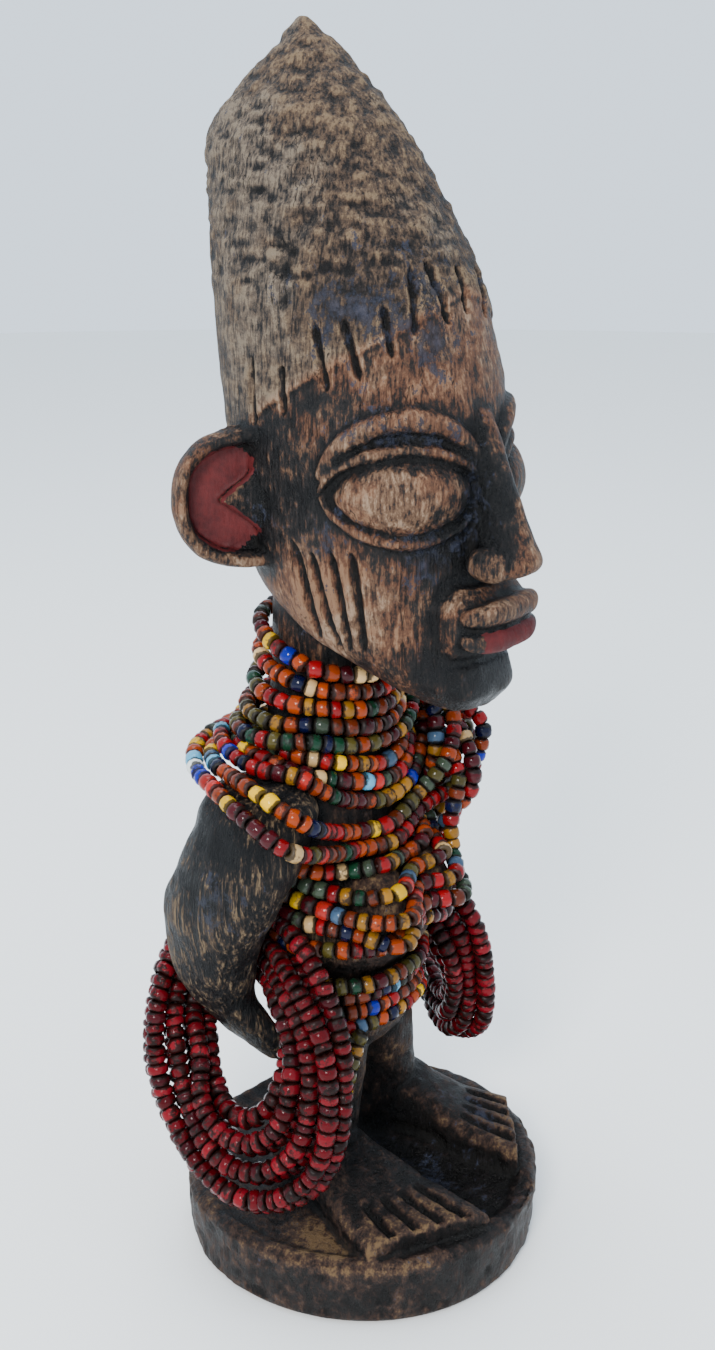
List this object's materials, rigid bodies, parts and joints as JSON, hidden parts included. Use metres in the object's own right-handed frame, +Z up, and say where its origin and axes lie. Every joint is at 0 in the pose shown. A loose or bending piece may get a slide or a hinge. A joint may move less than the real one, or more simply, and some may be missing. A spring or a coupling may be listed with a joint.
{
  "type": "carved wooden twin figure",
  "caption": "Carved wooden twin figure with tall pointed hair on a round base, hung with strings of glass beads at neck, chest, waist and wrists.",
  "frame": {"origin": "on the underside of the base, on the line that the body and head are set out from; the base reaches a little further to the left of it", "axes": "+Z up, the figure faces -Y and its right hand is at -X"},
  "size_m": [0.0958, 0.0875, 0.28],
  "materials": {
    "carved_wood": "satin",
    "mixed_beads": "gloss",
    "red_beads": "gloss"
  },
  "bodies": {
    "root": {"carved_figure": "carved_wood", "neck_strand_1": "mixed_beads", "neck_strand_2": "mixed_beads", "neck_strand_3": "mixed_beads", "neck_strand_4": "mixed_beads", "neck_strand_5": "mixed_beads", "collar_strand_1": "mixed_beads", "collar_strand_2": "mixed_beads", "collar_strand_3": "mixed_beads", "collar_strand_4": "mixed_beads", "collar_strand_5": "mixed_beads", "chest_strand_1": "mixed_beads", "chest_strand_2": "mixed_beads", "chest_strand_3": "mixed_beads", "chest_strand_4": "mixed_beads", "chest_strand_5": "mixed_beads", "waist_strand_1": "mixed_beads", "waist_strand_2": "mixed_beads", "waist_strand_3": "mixed_beads", "waist_strand_4": "mixed_beads", "right_wrist_strand_1": "red_beads", "right_wrist_strand_2": "red_beads", "right_wrist_strand_3": "red_beads", "right_wrist_strand_4": "red_beads", "right_wrist_strand_5": "red_beads", "right_wrist_strand_6": "red_beads", "right_wrist_strand_7": "red_beads", "left_wrist_strand_1": "red_beads", "left_wrist_strand_2": "red_beads", "left_wrist_strand_3": "red_beads", "left_wrist_strand_4": "red_beads", "left_wrist_strand_5": "red_beads", "left_wrist_strand_6": "red_beads"}
  },
  "joints": []
}
